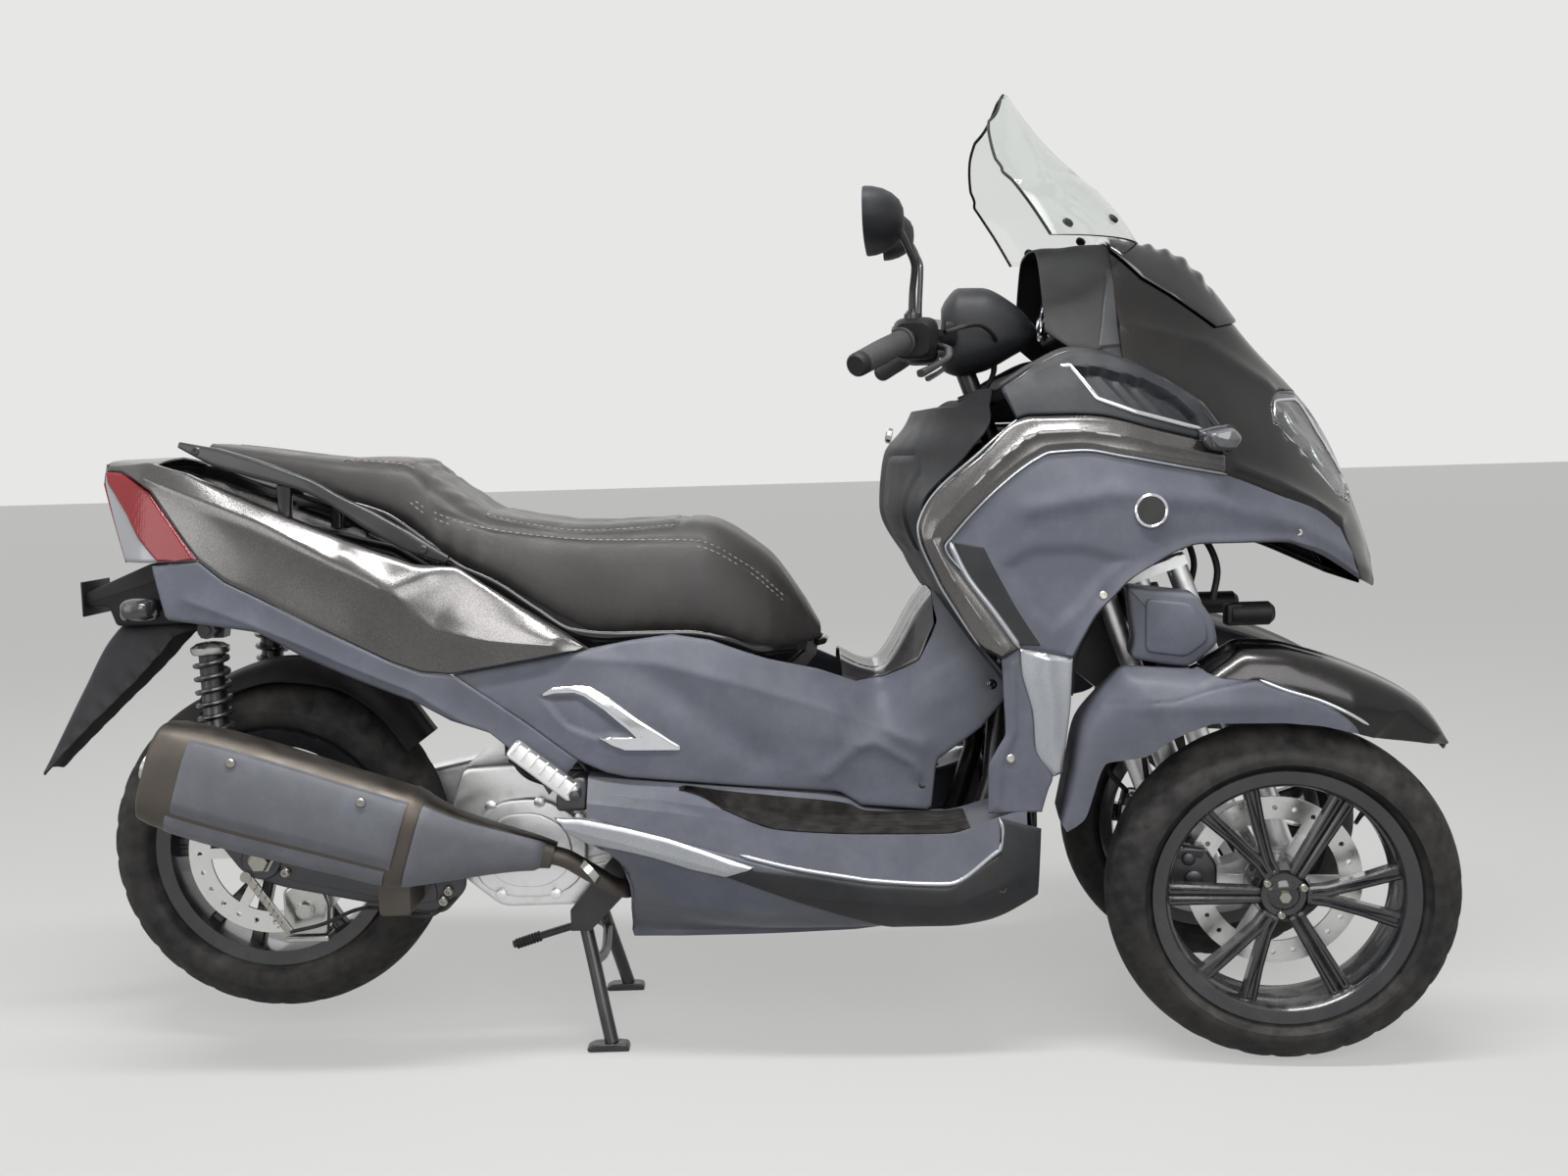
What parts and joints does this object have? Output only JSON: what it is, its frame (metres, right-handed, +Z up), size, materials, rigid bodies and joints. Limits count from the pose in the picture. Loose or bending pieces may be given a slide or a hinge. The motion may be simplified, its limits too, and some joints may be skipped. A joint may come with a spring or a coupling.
{
  "type": "motorized trike",
  "caption": "Step-over scooter-style motor trike with two leaning, steered front wheels and one driven rear wheel, parked on its centre stand.",
  "frame": {"origin": "on the floor, under the middle of the overall length and width", "axes": "+X forwards along the vehicle, +Y to its left, +Z up"},
  "size_m": [2.2564, 0.8194, 1.503],
  "materials": {
    "metallic": "satin metallic",
    "plastic": "grained",
    "silver": "satin",
    "black_gloss": "gloss",
    "black_plastic": "grained",
    "clear": "clear",
    "lamp": "clear",
    "red_lens": "gloss",
    "amber_lens": "gloss",
    "vinyl": "grained",
    "floor_rubber": "matt",
    "grip_rubber": "matt",
    "tyre": "matt",
    "rim": "gloss",
    "disc_steel": "brushed",
    "chassis_black": "satin",
    "cast_alloy": "cast",
    "fork_alloy": "satin",
    "spring": "gloss",
    "exhaust": "matt"
  },
  "bodies": {
    "chassis": {"shoulder_bands": "metallic", "vent_panels": "plastic", "side_cowls": "plastic", "leg_strips": "silver", "nose_cowl": "metallic", "headlamps": "lamp", "front_signals": "amber_lens", "windscreen": "clear", "screen_mount": "black_gloss", "meter_hood": "black_plastic", "leg_shield": "plastic", "leg_cowls": "black_plastic", "radiator_shroud": "black_plastic", "step_boards": "floor_rubber", "belly_pan": "plastic", "side_panels": "plastic", "tunnel_cover": "black_gloss", "tail_cowls": "metallic", "rear_side_panels": "plastic", "tail_lamps": "red_lens", "grab_rails": "silver", "rear_mudguard": "black_plastic", "rear_signals": "amber_lens", "storage_tub": "black_plastic", "frame": "chassis_black", "tilt_arms": "chassis_black", "engine": "cast_alloy", "swing_arm": "cast_alloy", "rear_shocks": "spring", "muffler": "exhaust", "footpegs": "cast_alloy"},
    "stand": {"centre_stand": "chassis_black"},
    "seat": {"seat_base": "black_plastic", "seat_cushion": "vinyl"},
    "handlebar": {"handlebar": "chassis_black", "bar_cover": "black_gloss", "grips": "grip_rubber", "mirrors": "black_plastic"},
    "wheel_rear": {"rear_tyre": "tyre", "rear_rim": "rim", "rear_disc": "disc_steel"},
    "carrier_right": {"fork_right": "fork_alloy", "fork_cover_right": "plastic", "fender_right": "metallic"},
    "wheel_front_right": {"front_tyre_right": "tyre", "front_rim_right": "rim", "front_disc_right": "disc_steel"},
    "carrier_left": {"fork_left": "fork_alloy", "fork_cover_left": "plastic", "fender_left": "metallic"},
    "wheel_front_left": {"front_tyre_left": "tyre", "front_rim_left": "rim", "front_disc_left": "disc_steel"}
  },
  "joints": [
    {"name": "steer", "type": "hinge", "parent": "chassis", "child": "handlebar", "pos_m": [0.415, 0, 1.09], "axis": [-0.342, 0, 0.9397], "range_deg": [-27.8, 42.2]},
    {"name": "kingpin_right", "type": "hinge", "parent": "chassis", "child": "carrier_right", "pos_m": [0.70647, -0.149, 0.632], "axis": [-0.342, 0, 0.9397], "range_deg": [-27.8, 42.2]},
    {"name": "kingpin_left", "type": "hinge", "parent": "chassis", "child": "carrier_left", "pos_m": [0.70647, 0.149, 0.632], "axis": [-0.342, 0, 0.9397], "range_deg": [-27.8, 42.2]},
    {"name": "front_wheel_right", "type": "hinge", "parent": "carrier_right", "child": "wheel_front_right", "pos_m": [0.8569, -0.23754, 0.26176], "axis": [0.1178, 0.9921, 0.0429], "continuous": true},
    {"name": "front_wheel_left", "type": "hinge", "parent": "carrier_left", "child": "wheel_front_left", "pos_m": [0.87984, 0.2311, 0.26176], "axis": [0.1178, 0.9921, 0.0429], "continuous": true},
    {"name": "rear_wheel", "type": "hinge", "parent": "chassis", "child": "wheel_rear", "pos_m": [-0.7265, 0, 0.322], "axis": [0, 1, 0], "continuous": true},
    {"name": "centre_stand", "type": "hinge", "parent": "chassis", "child": "stand", "pos_m": [-0.224, 0, 0.205], "axis": [0, 1, 0], "range_deg": [0, 80]},
    {"name": "seat", "type": "hinge", "parent": "chassis", "child": "seat", "pos_m": [0.16, 0, 0.628], "axis": [0, 1, 0], "range_deg": [0, 60]}
  ],
  "couplings": [
    {"joint": "kingpin_right", "follows": "steer", "ratio": 1},
    {"joint": "kingpin_left", "follows": "steer", "ratio": 1}
  ]
}
